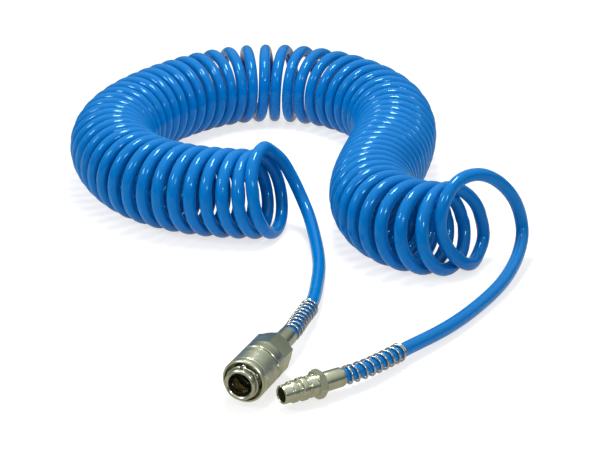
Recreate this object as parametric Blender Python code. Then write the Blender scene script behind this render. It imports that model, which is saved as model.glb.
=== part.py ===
"""Coiled polyurethane air hose with a push-on quick coupler on one end and a
plug on the other.

The coil lies on the floor (z = 0) as a ring that ends in a short S-bend. Its
centre line is a chain of bends; the tube winds round that line left-handed.
A lead leaves each end of the coil, comes down to the floor and runs into a
spring guard, a crimped ferrule and a plated steel fitting.

Dimensions are in millimetres and the scene is in metres. +Z is up, and the
origin is on the floor under the middle of the object's footprint. Headings are
degrees from +Y towards +X.
"""

import math

import bmesh
import bpy
import numpy as np
from mathutils import Vector

MM = 0.001

# ---------------------------------------------------------------- dimensions
# Hose tube and coil
TUBE_OD = 8.0
TUBE_RADIUS = TUBE_OD / 2
TUBE_ID = 5.0
TUBE_SIDES = 6
COIL_OD = 57.6
WIND_RADIUS = (COIL_OD - TUBE_OD) / 2
COIL_TURNS = 62.25
TURN_STEPS = 8  # of one turn in the mesh
FINE_STEPS = 48  # of one turn in the worked-out path
SEAM = 0.3  # between two lengths of one tube, and between neighbours

# Turns nearer than this, measured along the coil, are pushed apart
TOUCHING_PITCH = 8.05
PUSH_ROUNDS = 60
PUSH_SHARE = 0.9  # of the overlap, closed in each round

# Centre line of the coil on the floor plane
COIL_START = (-9.2, -6.7)
COIL_HEADING = -95.5
COIL_LENGTH = 715.5
BEND_STEP = 50.0
# Degrees the line turns in each BEND_STEP
BENDS = (22, 39.5, 22, 29, 18, 13, 42, 38, 27, 26, 12, 0, -20, -64, -140)
# Pitch of the turns at each multiple of BEND_STEP, before scaling to COIL_TURNS
PITCHES = (
    9.6, 10.7, 11.0, 11.4, 13.4, 12.2, 13.1, 14.0,
    14.2, 15.4, 14.6, 11.0, 10.6, 10.4, 11.9, 13.8,
)

# The turns are skewed where the coil is pulled sideways at its two ends: the
# heading they face leaves the line's before SKEW_START and after SKEW_END
FACING_START, SKEW_START = -69.0, 75.0
FACING_END, SKEW_END = 127.0, 560.0
SKEW_BLEND = 12  # stations to each side that the facing is averaged over
# Near both ends the tops of the turns lean towards the coil's middle
LEAN_START, LEAN_START_LENGTH = 16.0, 100.0
LEAN_END, LEAN_END_LENGTH = -18.0, 120.0
# The coupler end's first quarter turn opens out towards its lead
OPEN_TURNS = 0.25
OPEN_LIFT = 6.4

# Turns that open when an end of the hose is pulled
STRETCH_TURNS_COUPLER = 7.0
STRETCH_TURNS_PLUG = 8.25

# Leads: x, y, z of the tube's centre, from coil to fitting
COUPLER_LEAD = (
    (-11.4, 5.3, 53.0), (-5.4, 7.7, 47.0), (-0.1, 8.5, 38.5), (3.4, 7.3, 32.0),
    (8.2, 3.3, 22.5), (12.4, -5.4, 15.0), (15.5, -20.2, 10.0), (18.0, -43.7, 7.4),
    (19.1, -74.2, 6.4), (17.7, -99.0, 6.6), (13.0, -138.2, 8.8), (7.0, -161.7, 10.9),
)
PLUG_LEAD = (
    (120.5, -45.9, 13.0), (118.1, -51.3, 7.8), (112.2, -63.7, 4.3), (106.6, -71.3, 8.0),
    (100.2, -75.5, 14.6), (95.2, -77.3, 22.0), (92.2, -77.3, 29.6), (91.4, -76.5, 37.4),
    (93.0, -74.2, 46.0), (97.5, -69.3, 54.4), (105.0, -63.1, 59.4), (114.6, -58.3, 60.2),
    (123.8, -53.3, 56.0), (132.0, -48.3, 48.4), (138.8, -44.5, 38.6), (143.2, -42.7, 27.2),
    (144.6, -44.9, 18.0), (142.4, -55.1, 11.2), (137.1, -72.0, 7.6), (129.1, -92.2, 5.8),
    (111.2, -125.7, 4.7), (87.0, -162.1, 5.4), (65.0, -188.3, 6.6),
)
# Fine points of the coil that a lead's curve starts through, the seam last
COUPLER_JOIN = [14, 10, 6, 3, 0]
PLUG_JOIN = [-15, -11, -7, -4, -1]
LEAD_STEP = 7.0
CURVE_STEP = 0.25  # at which a lead's curve is worked out
FLEX_LENGTH = 55.0  # hose that bends when a fitting is swung aside
TAIL_APPROACH = 6.0  # where the lead lines up with its fitting, before the ferrule

# Coupler: stations run from the nose face towards the hose
COUPLER_NOSE = (-24.0, -243.5, 12.2)
COUPLER_HEADING = 22.3
COUPLER_LENGTH = 46.0
COUPLER_TAIL_END = COUPLER_LENGTH + 0.2
COUPLER_FERRULE_START = COUPLER_LENGTH - 1.4
COUPLER_FERRULE_END = 67.1
COUPLER_SIDES = 24
BODY_RADIUS = 12.0
BODY_FRONT = 24.6
NECK_FRONT = 21.6
NECK_RADIUS = 10.7
HEX_ACROSS_FLATS = 2 * BODY_RADIUS * math.cos(math.radians(30))
HEX_START = 31.5
HEX_FULL = HEX_START + 1.3
HEX_TURN = math.radians(15)
BARREL_RADIUS = 8.6
PLUG_BORE_RADIUS = 6.5
PLUG_SEAL_FRONT, PLUG_SEAL_REAR = 12.6, 15.2
CIRCLIP_X = 4.0
CIRCLIP_GROOVE_WIDTH = 1.4
SLEEVE_FRONT, SLEEVE_REAR = 5.2, 24.0
SLEEVE_STEP = 13.0  # the sleeve spring pushes on this face
SLEEVE_RECESS_RADIUS = 10.8
FLANGE_REAR = 26.4  # of the poppet, where the valve spring pushes
VALVE_SPRING_STOP = 37.3
SPRING_GAP = 0.3  # between a spring's end and the face it pushes on

# Locking balls
BALL_RADIUS = 1.6
BALL_COUNT = 6
BALL_X = 7.0
BALL_CIRCLE = 8.1  # with the sleeve back, the balls stand clear of the plug's bore
POCKET_RADIUS = 1.8
POCKET_CUTTER_LENGTH = 24.0

# Plug: stations run from its tip towards the hose
PLUG_TIP = (-2.2, -246.4, 8.4)
PLUG_HEADING = 56.1
PLUG_NOSE_RADIUS = 5.15
PLUG_HEX_ACROSS_FLATS = 14.0
PLUG_HEX_START, PLUG_HEX_END = 20.6, 25.0
PLUG_TAIL_END = 25.6
PLUG_FERRULE_START, PLUG_FERRULE_END = 25.3, 38.8

# Both hose tails
FERRULE_RADIUS = 5.4
BARB_RADIUS = 2.8
STEM_BORE_RADIUS = 1.7
GUARD_MEAN_RADIUS = 4.8
GUARD_WIRE = 1.2
GUARD_LENGTH = 46.0
GUARD_FRONT_GAP, GUARD_TOTAL_GAP = 0.6, 1.8

for old in list(bpy.data.objects):
    bpy.data.objects.remove(old, do_unlink=True)


# ----------------------------------------------------------------- materials
def finish(name, colour, roughness, metallic):
    made = bpy.data.materials.new(name)
    made.use_nodes = True
    shader = made.node_tree.nodes["Principled BSDF"]
    shader.inputs["Base Color"].default_value = (*colour, 1)
    shader.inputs["Roughness"].default_value = roughness
    shader.inputs["Metallic"].default_value = metallic
    return made


HOSE_BLUE = finish("hose_blue", colour=(0.0, 0.16, 0.58), roughness=0.18, metallic=0.0)
NICKEL = finish("nickel_plate", colour=(0.46, 0.46, 0.37), roughness=0.28, metallic=1.0)
SLEEVE_PLATE = finish("sleeve_plate", colour=(0.50, 0.51, 0.43), roughness=0.36, metallic=1.0)
SPRING_WIRE = finish("spring_wire", colour=(0.55, 0.56, 0.53), roughness=0.22, metallic=1.0)
BRASS = finish("brass", colour=(0.60, 0.43, 0.16), roughness=0.3, metallic=1.0)
SEAL_RUBBER = finish("seal_rubber", colour=(0.015, 0.015, 0.015), roughness=0.6, metallic=0.0)
BALL_STEEL = finish("ball_steel", colour=(0.62, 0.62, 0.62), roughness=0.12, metallic=1.0)


# ------------------------------------------------------------ vector helpers
def unit(vectors):
    return vectors / np.linalg.norm(vectors, axis=-1, keepdims=True)


def square_to(vectors, along):
    """Unit vectors nearest the given ones that stand square to along."""
    return unit(vectors - (vectors * along).sum(-1, keepdims=True) * along)


def sample(at, stations, values):
    """Rows of x, y, z values read off between their stations."""
    return np.stack([np.interp(at, stations, values[:, k]) for k in range(3)], 1)


def heading_vector(degrees):
    return np.array([math.sin(math.radians(degrees)), math.cos(math.radians(degrees)), 0])


# ------------------------------------------------------------- mesh building
def place(name, bm, material, parent=None, location=(0, 0, 0), sharp=40):
    """One object from a bmesh, its normals out and its round faces smooth."""
    bmesh.ops.recalc_face_normals(bm, faces=bm.faces[:])
    mesh = bpy.data.meshes.new(name)
    bm.to_mesh(mesh)
    bm.free()
    mesh.shade_smooth()
    mesh.set_sharp_from_angle(angle=math.radians(sharp))
    mesh.materials.append(material)
    made = bpy.data.objects.new(name, mesh)
    bpy.context.scene.collection.objects.link(made)
    made.location = Vector(location) * MM
    if parent:
        made.parent = parent
    return made


def axis_empty(name, nose, heading):
    """An empty at a fitting's front face, its +X along the fitting to the hose."""
    made = bpy.data.objects.new(name, None)
    bpy.context.scene.collection.objects.link(made)
    made.location = Vector(nose) * MM
    made.rotation_euler = (0, 0, math.radians(90 - heading))
    return made


def turned(outline, sides):
    """A closed outline of (x, radius) spun round the X axis."""
    bm = bmesh.new()
    corners = [bm.verts.new((x * MM, 0, radius * MM)) for x, radius in outline]
    edges = [bm.edges.new(pair) for pair in zip(corners, corners[1:] + corners[:1])]
    bmesh.ops.spin(
        bm, geom=corners + edges, cent=(0, 0, 0), axis=(1, 0, 0), dvec=(0, 0, 0),
        angle=2 * math.pi, steps=sides, use_merge=True, use_duplicate=False,
    )
    bmesh.ops.remove_doubles(bm, verts=bm.verts[:], dist=1e-6)
    return bm


def cut_hexagon(bm, across_flats, first, last, turn=0.0):
    """Pulls what stands outside a hexagon in onto its flats, between two stations."""
    for vert in bm.verts:
        if first - 0.01 <= vert.co.x / MM <= last + 0.01:
            radius = math.hypot(vert.co.y, vert.co.z)
            angle = math.atan2(vert.co.y, vert.co.z) - turn
            from_flat = (angle + math.pi / 6) % (math.pi / 3) - math.pi / 6
            flat = across_flats / 2 * MM / math.cos(from_flat)
            if radius > flat:
                vert.co.y *= flat / radius
                vert.co.z *= flat / radius
    return bm


def o_ring(x, major, minor):
    """A ring of hexagonal section round the X axis."""
    angles = [2 * math.pi * i / 6 for i in range(6)]
    outline = [(x + minor * math.cos(a), major + minor * math.sin(a)) for a in angles]
    return turned(outline, 18)


def sweep(points, ups, radius, sides, bore=None, along=None):
    """A tube along points: outer skin, both end faces, and a bore if one is given."""
    along = unit(np.gradient(points, axis=0) if along is None else along)
    ups = square_to(ups, along)
    across = np.cross(along, ups)
    angles = [2 * math.pi * k / sides for k in range(sides)]
    bm = bmesh.new()
    skins = [
        [
            [
                bm.verts.new(Vector(p + r * (math.cos(a) * up + math.sin(a) * side)) * MM)
                for a in angles
            ]
            for p, up, side in zip(points, ups, across)
        ]
        for r in ((radius,) if bore is None else (radius, bore))
    ]

    def band(first, second):
        for k in range(sides):
            n = (k + 1) % sides
            bm.faces.new((first[k], first[n], second[n], second[k]))

    for skin in skins:
        for first, second in zip(skin, skin[1:]):
            band(first, second)
    for end in (0, -1):
        if bore is None:
            bm.faces.new(skins[0][end])
        else:
            band(skins[0][end], skins[1][end])
    return bm


def spring_stations(first, length, wire, coils, steps, closed, closed_pitch):
    """Angles and stations of a spring's wire.

    closed holds the number of close-wound coils at each end, closed_pitch their
    pitch in wire widths. The coils between share the rest of the length.
    """
    turns = np.arange(int(coils * steps) + 1) / steps
    free_coils = coils - sum(closed)
    ends = np.minimum(turns, closed[0]) + np.maximum(0, turns - (coils - closed[1]))
    free = np.clip(turns - closed[0], 0, free_coils)
    reach = length - wire - sum(closed) * wire * closed_pitch
    at = first + wire / 2 + ends * wire * closed_pitch + free / free_coils * reach
    return 2 * math.pi * turns, at


# ------------------------------------------------------------------ the coil
def coil_line():
    """Stations along the coil: distance, x, y, facing, lean and turns so far."""
    run = np.linspace(0, COIL_LENGTH, int(COIL_LENGTH) + 1)
    step = run[1]

    def summed(rates):
        return np.concatenate([[0], np.cumsum(rates)])

    mids = (np.arange(len(BENDS)) + 0.5) * BEND_STEP
    curl = np.interp(run, mids, np.radians(BENDS) / BEND_STEP)
    heading = math.radians(COIL_HEADING) + summed((curl[1:] + curl[:-1]) / 2 * step)
    middle = (heading[1:] + heading[:-1]) / 2
    x = COIL_START[0] + summed(np.sin(middle) * step)
    y = COIL_START[1] + summed(np.cos(middle) * step)

    # the turns face along the line but for the skew at both ends
    facing = np.degrees(heading)
    at_first, at_last = np.interp([SKEW_START, SKEW_END], run, facing)
    first, last = run <= SKEW_START, run >= SKEW_END
    facing[first] = FACING_START + (at_first - FACING_START) * run[first] / SKEW_START
    end_share = (run[last] - SKEW_END) / (COIL_LENGTH - SKEW_END)
    facing[last] = at_last + (FACING_END - at_last) * end_share
    padded = np.pad(facing, SKEW_BLEND, mode="reflect", reflect_type="odd")
    window = 2 * SKEW_BLEND + 1
    facing = np.radians(np.convolve(padded, np.ones(window) / window, "valid"))

    lean = math.radians(LEAN_START) * np.clip(1 - run / LEAN_START_LENGTH, 0, 1)
    lean += math.radians(LEAN_END) * np.clip(1 - (COIL_LENGTH - run) / LEAN_END_LENGTH, 0, 1)
    pitch = np.interp(run, np.arange(len(PITCHES)) * BEND_STEP, PITCHES)
    turns = summed(2 / (pitch[1:] + pitch[:-1]))
    return run, x, y, facing, lean, turns * COIL_TURNS / turns[-1]


def coil_points():
    """Turns so far, the tube's centre, its way and its spoke, from the coupler's end."""
    run, line_x, line_y, facing, lean, turns = coil_line()
    turn = np.arange(0, int(round(COIL_TURNS * FINE_STEPS)) + 1) / FINE_STEPS
    at = np.interp(turn, turns, run)
    x, y, facing, lean = (np.interp(at, run, v) for v in (line_x, line_y, facing, lean))
    none = np.zeros(len(at))
    # the turns rest on the floor however far they lean
    centre = np.stack([x, y, WIND_RADIUS * np.cos(lean) + TUBE_RADIUS], 1)
    normal = np.stack([np.sin(facing), np.cos(facing), none], 1)
    side = np.stack([-np.cos(facing), np.sin(facing), none], 1)
    up = np.stack([none, none, np.cos(lean)], 1) + normal * np.sin(lean)[:, None]
    angle = 2 * math.pi * turn
    radius = WIND_RADIUS + OPEN_LIFT * np.where(turn < OPEN_TURNS, np.cos(angle) ** 2, 0)
    spoke = np.cos(angle)[:, None] * up + np.sin(angle)[:, None] * side
    tube = centre + radius[:, None] * spoke
    # turns that would run into each other are pushed apart until they touch
    later_normal = normal[FINE_STEPS:]
    for _ in range(PUSH_ROUNDS):
        gap = ((tube[FINE_STEPS:] - tube[:-FINE_STEPS]) * later_normal).sum(1)
        overlap = np.maximum(TOUCHING_PITCH - gap, 0)
        push = (overlap / 2 * PUSH_SHARE)[:, None] * later_normal
        tube[FINE_STEPS:] += push
        tube[:-FINE_STEPS] -= push
    return turn, tube, np.gradient(tube, axis=0), spoke


def coil_section(name, first, last, coil):
    """The coil's tube between two turn counts, half a seam short at each end."""
    half_seam = SEAM / 2 / (2 * math.pi * WIND_RADIUS)
    first, last = first + half_seam, last - half_seam
    # steps nearer than 0.02 turn to an end are left out
    steps = np.arange(math.ceil((first + 0.02) * TURN_STEPS), (last - 0.02) * TURN_STEPS)
    at = np.concatenate([[first], steps / TURN_STEPS, [last]])
    turn, *tracks = coil
    tube, way, spoke = (sample(at, turn, track) for track in tracks)
    bm = sweep(tube, spoke, TUBE_RADIUS, TUBE_SIDES, along=way)
    place(name, bm, HOSE_BLUE, sharp=80)


# ----------------------------------------------------------------- the leads
def smooth_line(knots, joint):
    """A natural cubic spline through knots, in even steps.

    Gives distances, points, ways, and how far along the knot numbered joint is.
    """
    knots = np.asarray(knots, float)
    at_knots = np.concatenate([[0], np.cumsum(np.linalg.norm(np.diff(knots, axis=0), axis=1))])
    span = np.diff(at_knots)
    count = len(knots)
    matrix = np.zeros((count, count))
    slope_change = np.zeros((count, 3))
    matrix[0, 0] = matrix[-1, -1] = 1
    for i in range(1, count - 1):
        before, after = span[i - 1], span[i]
        matrix[i, i - 1 : i + 2] = before, 2 * (before + after), after
        slope_change[i] = 6 * (
            (knots[i + 1] - knots[i]) / after - (knots[i] - knots[i - 1]) / before
        )
    bend = np.linalg.solve(matrix, slope_change)

    fine = np.arange(0, at_knots[-1], CURVE_STEP)
    i = np.clip(np.searchsorted(at_knots, fine, side="right") - 1, 0, count - 2)
    done, whole = (fine - at_knots[i])[:, None], span[i][:, None]
    left = whole - done
    line = (
        bend[i] * left**3 / (6 * whole)
        + bend[i + 1] * done**3 / (6 * whole)
        + (knots[i] / whole - bend[i] * whole / 6) * left
        + (knots[i + 1] / whole - bend[i + 1] * whole / 6) * done
    )
    far = np.concatenate([[0], np.cumsum(np.linalg.norm(np.diff(line, axis=0), axis=1))])
    even = np.linspace(0, far[-1], int(round(far[-1] / LEAD_STEP)) + 1)
    ways = sample(even, far, np.gradient(line, axis=0))
    joint_distance = float(np.interp(at_knots[joint], fine, far))
    return even, sample(even, far, line), ways, joint_distance


def carried_up(ways):
    """Up-vectors that turn with the line and never spin round it."""
    ups = []
    up = np.array((0.0, 0.0, 1.0))
    for along in unit(ways):
        up = square_to(up, along)
        ups.append(up)
    return np.array(ups)


def lead(prefix, coil_end, coil_way, knots, nose, heading, tail_from, tail_to):
    """The tube from the coil to a fitting, in three lengths: lead, flex and tail.

    tail_from and tail_to are the fitting's stations where the tube enters the
    ferrule and where it ends. Gives the path and where the spring guard starts.
    """
    straight = [
        np.array(nose) + heading_vector(heading) * station
        for station in (tail_from + TAIL_APPROACH, (tail_from + tail_to) / 2, tail_to)
    ]
    distance, points, ways, begin = smooth_line(
        [*coil_end, *knots, *straight], joint=len(coil_end) - 1
    )
    ups = carried_up(ways)
    end = distance[-1]
    guard = end - (tail_from - tail_to) - GUARD_LENGTH
    flex = guard - FLEX_LENGTH
    half = SEAM / 2
    for part, first, last, bore in (
        ("lead", begin + half, flex - half, TUBE_ID / 2),
        ("flex", flex + half, guard - half, TUBE_ID / 2),
        ("tail", guard + half, end, BARB_RADIUS + half),
    ):
        inside = distance[(distance > first + 1.0) & (distance < last - 1.0)]
        at = np.concatenate([[first], inside, [last]])
        line, up, way = (sample(at, distance, v) for v in (points, ups, ways))
        if part == "lead":
            way[0] = coil_way  # both faces of the seam square to the coil
        corner_bore = bore / math.cos(math.pi / TUBE_SIDES)
        bm = sweep(line, up, TUBE_RADIUS, TUBE_SIDES, bore=corner_bore, along=way)
        place(f"hose_{part}_{prefix}", bm, HOSE_BLUE, sharp=80)
    return distance, points, ups, guard


def spring_guard(name, path):
    """A wire spring round the tube where it leaves its ferrule, closed at both ends."""
    distance, points, ups, guard = path
    angle, at = spring_stations(
        guard + GUARD_FRONT_GAP, GUARD_LENGTH - GUARD_TOTAL_GAP, GUARD_WIRE,
        coils=9.5, steps=16, closed=(1.2, 0.8), closed_pitch=1.15,
    )
    here = sample(at, distance, points)
    ahead = unit(sample(at + 1, distance, points) - here)
    up = square_to(sample(at, distance, ups), ahead)
    side = np.cross(ahead, up)
    spokes = np.cos(angle)[:, None] * up + np.sin(angle)[:, None] * side
    bm = sweep(here + GUARD_MEAN_RADIUS * spokes, spokes, GUARD_WIRE / 2, 4)
    place(name, bm, SPRING_WIRE, sharp=80)


# ------------------------------------------------- pieces of both fittings
# Every outline below is a closed list of (x, radius) in its fitting's frame
def fitting_spring(name, first_face, last_face, mean_radius, wire, parent):
    """A compression spring round the X axis, between two faces."""
    first = first_face + SPRING_GAP
    length = last_face - SPRING_GAP - first
    angle, x = spring_stations(
        first, length, wire, coils=4.0, steps=10, closed=(1.0, 1.0), closed_pitch=1.08
    )
    none = np.zeros(len(x))
    spokes = np.stack([none, np.sin(angle), np.cos(angle)], 1)
    points = np.stack([x, none, none], 1) + mean_radius * spokes
    place(name, sweep(points, spokes, wire / 2, 4), SPRING_WIRE, parent, sharp=80)


def ferrule(name, first, last, parent):
    """The crimped sleeve that clamps the tube onto its stem."""
    bore = TUBE_RADIUS + SEAM
    outline = [
        (first, bore), (first, FERRULE_RADIUS), (last - 1.6, FERRULE_RADIUS),
        (last - 1.2, FERRULE_RADIUS - 0.35), (last - 0.5, FERRULE_RADIUS - 0.35),
        (last, FERRULE_RADIUS - 0.8), (last, bore),
    ]
    place(name, turned(outline, 18), NICKEL, parent)


# --------------------------------------------------------------- the coupler
def coupler_barrel(coupler):
    """The socket the plug pushes into, with ball pockets, seal groove and valve seat."""
    groove_front = CIRCLIP_X - CIRCLIP_GROOVE_WIDTH / 2
    groove_rear = CIRCLIP_X + CIRCLIP_GROOVE_WIDTH / 2
    groove_radius = BARREL_RADIUS - 0.9
    outline = [
        # outside, front to rear
        (0.0, BARREL_RADIUS - 0.7), (0.6, BARREL_RADIUS), (groove_front, BARREL_RADIUS),
        (groove_front, groove_radius), (groove_rear, groove_radius),
        (groove_rear, BARREL_RADIUS), (21.0, BARREL_RADIUS), (21.0, 8.0), (33.0, 8.0),
        # valve chamber and seat
        (33.0, 6.9), (23.0, 6.9), (21.4, 4.9), (19.6, 4.9), (19.6, 5.7),
        # seal groove and plug bore
        (PLUG_SEAL_REAR, 5.7), (PLUG_SEAL_REAR, 7.2), (PLUG_SEAL_FRONT, 7.2),
        (PLUG_SEAL_FRONT, PLUG_BORE_RADIUS), (0.8, PLUG_BORE_RADIUS),
        (0.0, PLUG_BORE_RADIUS + 0.8),
    ]
    barrel = place("coupler_barrel", turned(outline, COUPLER_SIDES), NICKEL, coupler)
    # each cutter runs right across and cuts two opposite pockets
    for i in range(BALL_COUNT // 2):
        bm = bmesh.new()
        bmesh.ops.create_cone(
            bm, cap_ends=True, segments=12, radius1=POCKET_RADIUS * MM,
            radius2=POCKET_RADIUS * MM, depth=POCKET_CUTTER_LENGTH * MM,
        )
        cutter = place(f"ball_pocket_cutter_{i + 1}", bm, NICKEL, coupler, (BALL_X, 0, 0))
        cutter.rotation_euler = (2 * math.pi / BALL_COUNT * i, 0, 0)
        cutter.hide_render = True
        cutter.display_type = "WIRE"
        cut = barrel.modifiers.new(f"ball_pockets_{i + 1}", "BOOLEAN")
        cut.operation = "DIFFERENCE"
        cut.solver = "EXACT"
        cut.object = cutter


def coupler_body(coupler):
    """Rear half, round then hexagonal, screwed onto the barrel and the stem."""
    outline = [
        # outside, front to rear
        (NECK_FRONT, 8.3), (NECK_FRONT, NECK_RADIUS), (BODY_FRONT, NECK_RADIUS),
        (BODY_FRONT, 11.6), (BODY_FRONT + 0.5, BODY_RADIUS), (HEX_START, BODY_RADIUS),
        (HEX_FULL, BODY_RADIUS), (COUPLER_LENGTH - 0.8, BODY_RADIUS),
        (COUPLER_LENGTH, BODY_RADIUS - 1.6),
        # bore, rear to front
        (COUPLER_LENGTH, 5.9), (38.6, 5.9), (38.6, 4.2), (VALVE_SPRING_STOP, 4.2),
        (VALVE_SPRING_STOP, 6.9), (34.2, 6.9), (34.2, 8.3),
    ]
    bm = turned(outline, COUPLER_SIDES)
    cut_hexagon(bm, HEX_ACROSS_FLATS, HEX_FULL, COUPLER_LENGTH, HEX_TURN)
    place("coupler_body", bm, NICKEL, coupler)


def locking_sleeve(coupler):
    """Sliding sleeve as wide as the body, its spring and the ring that stops it."""
    outline = [
        # outside, with a shallow groove
        (SLEEVE_FRONT, SLEEVE_RECESS_RADIUS), (SLEEVE_FRONT, 11.4),
        (SLEEVE_FRONT + 0.7, BODY_RADIUS), (9.2, BODY_RADIUS), (9.7, 11.7),
        (10.2, BODY_RADIUS), (SLEEVE_REAR - 0.6, BODY_RADIUS), (SLEEVE_REAR, 11.5),
        # spring chamber, land and front recess
        (SLEEVE_REAR, 11.05), (SLEEVE_STEP, 11.05), (SLEEVE_STEP, 8.95), (10.4, 8.95),
        (8.9, SLEEVE_RECESS_RADIUS),
    ]
    place("locking_sleeve", turned(outline, COUPLER_SIDES), SLEEVE_PLATE, coupler)
    fitting_spring(
        "sleeve_spring", SLEEVE_STEP, NECK_FRONT, mean_radius=9.85, wire=0.9, parent=coupler
    )
    circlip = o_ring(CIRCLIP_X, major=8.72, minor=0.6)
    place("sleeve_circlip", circlip, SPRING_WIRE, coupler)


def locking_balls(coupler):
    """Balls that the sleeve's land holds in the plug's groove once it is forward."""
    for i in range(BALL_COUNT):
        angle = 2 * math.pi / BALL_COUNT * i
        centre = (BALL_X, BALL_CIRCLE * math.sin(angle), BALL_CIRCLE * math.cos(angle))
        bm = bmesh.new()
        bmesh.ops.create_icosphere(bm, subdivisions=1, radius=BALL_RADIUS * MM)
        place(f"locking_ball_{i + 1}", bm, BALL_STEEL, coupler, centre, sharp=180)


def valve(coupler):
    """A hollow poppet that the plug's tip pushes off its seat, and its spring."""
    outline = [
        (16.0, 4.5), (24.0, 4.5), (24.0, 6.3), (FLANGE_REAR, 6.3), (FLANGE_REAR, 4.4),
        (30.0, 4.4), (30.0, 3.4), (25.8, 3.4), (25.8, 1.2), (24.6, 1.2), (24.6, 3.4),
        (16.0, 3.4),
    ]
    place("valve_poppet", turned(outline, 12), BRASS, coupler)
    fitting_spring(
        "valve_spring", FLANGE_REAR, VALVE_SPRING_STOP, mean_radius=5.5, wire=0.8, parent=coupler
    )


def coupler_seals(coupler):
    valve_seal = o_ring(23.1, major=5.45, minor=0.55)
    place("valve_seal", valve_seal, SEAL_RUBBER, coupler)
    plug_seal = o_ring((PLUG_SEAL_FRONT + PLUG_SEAL_REAR) / 2, major=6.1, minor=0.9)
    place("plug_seal", plug_seal, SEAL_RUBBER, coupler)
    outline = [(33.3, 7.2), (33.3, 8.0), (33.9, 8.0), (33.9, 7.2)]
    place("body_seal", turned(outline, 18), SEAL_RUBBER, coupler)


def coupler_hose_stem(coupler):
    """Hollow stem, screwed into the body, its barbs gripping the tube."""
    outline = [
        (39.0, 2.0), (39.0, 5.5), (44.0, 5.5), (44.0, 2.5), (47.5, BARB_RADIUS),
        (51.0, 2.5), (53.0, BARB_RADIUS), (57.0, 2.5), (59.0, BARB_RADIUS), (64.0, 2.3),
        (64.0, STEM_BORE_RADIUS), (42.6, STEM_BORE_RADIUS),
    ]
    place("coupler_hose_stem", turned(outline, 12), NICKEL, coupler)


# ------------------------------------------------------------------ the plug
def plug_nipple(plug):
    """Hollow plug: nose, locking groove, hexagon and barbed stem in one piece."""
    outline = [
        # nose, locking groove and collars
        (0.0, PLUG_NOSE_RADIUS - 0.45), (0.45, PLUG_NOSE_RADIUS), (5.0, PLUG_NOSE_RADIUS),
        (5.6, 5.9), (8.3, 5.9), (9.2, 4.7), (10.4, 4.7), (11.4, 6.35), (14.2, 6.35),
        (15.2, 5.2), (16.2, 5.2), (16.6, 6.0), (PLUG_HEX_START, 6.0),
        # hexagon
        (PLUG_HEX_START, 7.4), (21.2, 8.1), (24.4, 8.1), (PLUG_HEX_END, 7.4),
        # barbed stem
        (PLUG_HEX_END, 2.5), (27.0, BARB_RADIUS), (29.6, 2.5), (31.0, BARB_RADIUS),
        (33.6, 2.5), (35.0, BARB_RADIUS), (38.0, 2.3),
        # bore, rear to front
        (38.0, STEM_BORE_RADIUS), (19.0, STEM_BORE_RADIUS), (16.0, 3.95), (0.4, 3.95),
        (0.0, 4.3),
    ]
    bm = turned(outline, 18)
    cut_hexagon(bm, PLUG_HEX_ACROSS_FLATS, PLUG_HEX_START, PLUG_HEX_END)
    place("plug_nipple", bm, NICKEL, plug)


# ------------------------------------------------------------------ assembly
def build_hose():
    coil = coil_points()
    plug_stretch = COIL_TURNS - STRETCH_TURNS_PLUG
    coil_section("hose_coil", STRETCH_TURNS_COUPLER, plug_stretch, coil)
    coil_section("hose_stretch_coupler_end", 0, STRETCH_TURNS_COUPLER, coil)
    coil_section("hose_stretch_plug_end", plug_stretch, COIL_TURNS, coil)

    _, tube, way, _ = coil
    coupler_path = lead(
        "coupler", tube[COUPLER_JOIN], -way[0], COUPLER_LEAD, COUPLER_NOSE, COUPLER_HEADING,
        tail_from=COUPLER_FERRULE_END + 0.1, tail_to=COUPLER_TAIL_END,
    )
    plug_path = lead(
        "plug", tube[PLUG_JOIN], way[-1], PLUG_LEAD, PLUG_TIP, PLUG_HEADING,
        tail_from=PLUG_FERRULE_END + 0.6, tail_to=PLUG_TAIL_END,
    )
    spring_guard("coupler_spring_guard", coupler_path)
    spring_guard("plug_spring_guard", plug_path)


def build_coupler():
    coupler = axis_empty("coupler_axis", COUPLER_NOSE, COUPLER_HEADING)
    coupler_barrel(coupler)
    coupler_body(coupler)
    locking_sleeve(coupler)
    locking_balls(coupler)
    valve(coupler)
    coupler_seals(coupler)
    coupler_hose_stem(coupler)
    ferrule("coupler_ferrule", COUPLER_FERRULE_START, COUPLER_FERRULE_END, coupler)


def build_plug():
    plug = axis_empty("plug_axis", PLUG_TIP, PLUG_HEADING)
    plug_nipple(plug)
    ferrule("plug_ferrule", PLUG_FERRULE_START, PLUG_FERRULE_END, plug)


build_hose()
build_coupler()
build_plug()
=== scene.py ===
"""A coiled air hose with a quick coupler on one end and a plug on the other.

It lies on the floor z = 0, in front of a camera that looks along +Y and down. Sizes are in
mm and become metres as meshes are made. Headings are degrees from +Y towards +X. Places on
the floor are measured from the point below the camera, and in_frame() moves them to the
frame. Each fitting is built along its own X axis, from its front face (x = 0) to the hose.
"""

import math

import bmesh
import bpy
import numpy as np
from mathutils import Matrix, Vector


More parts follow.
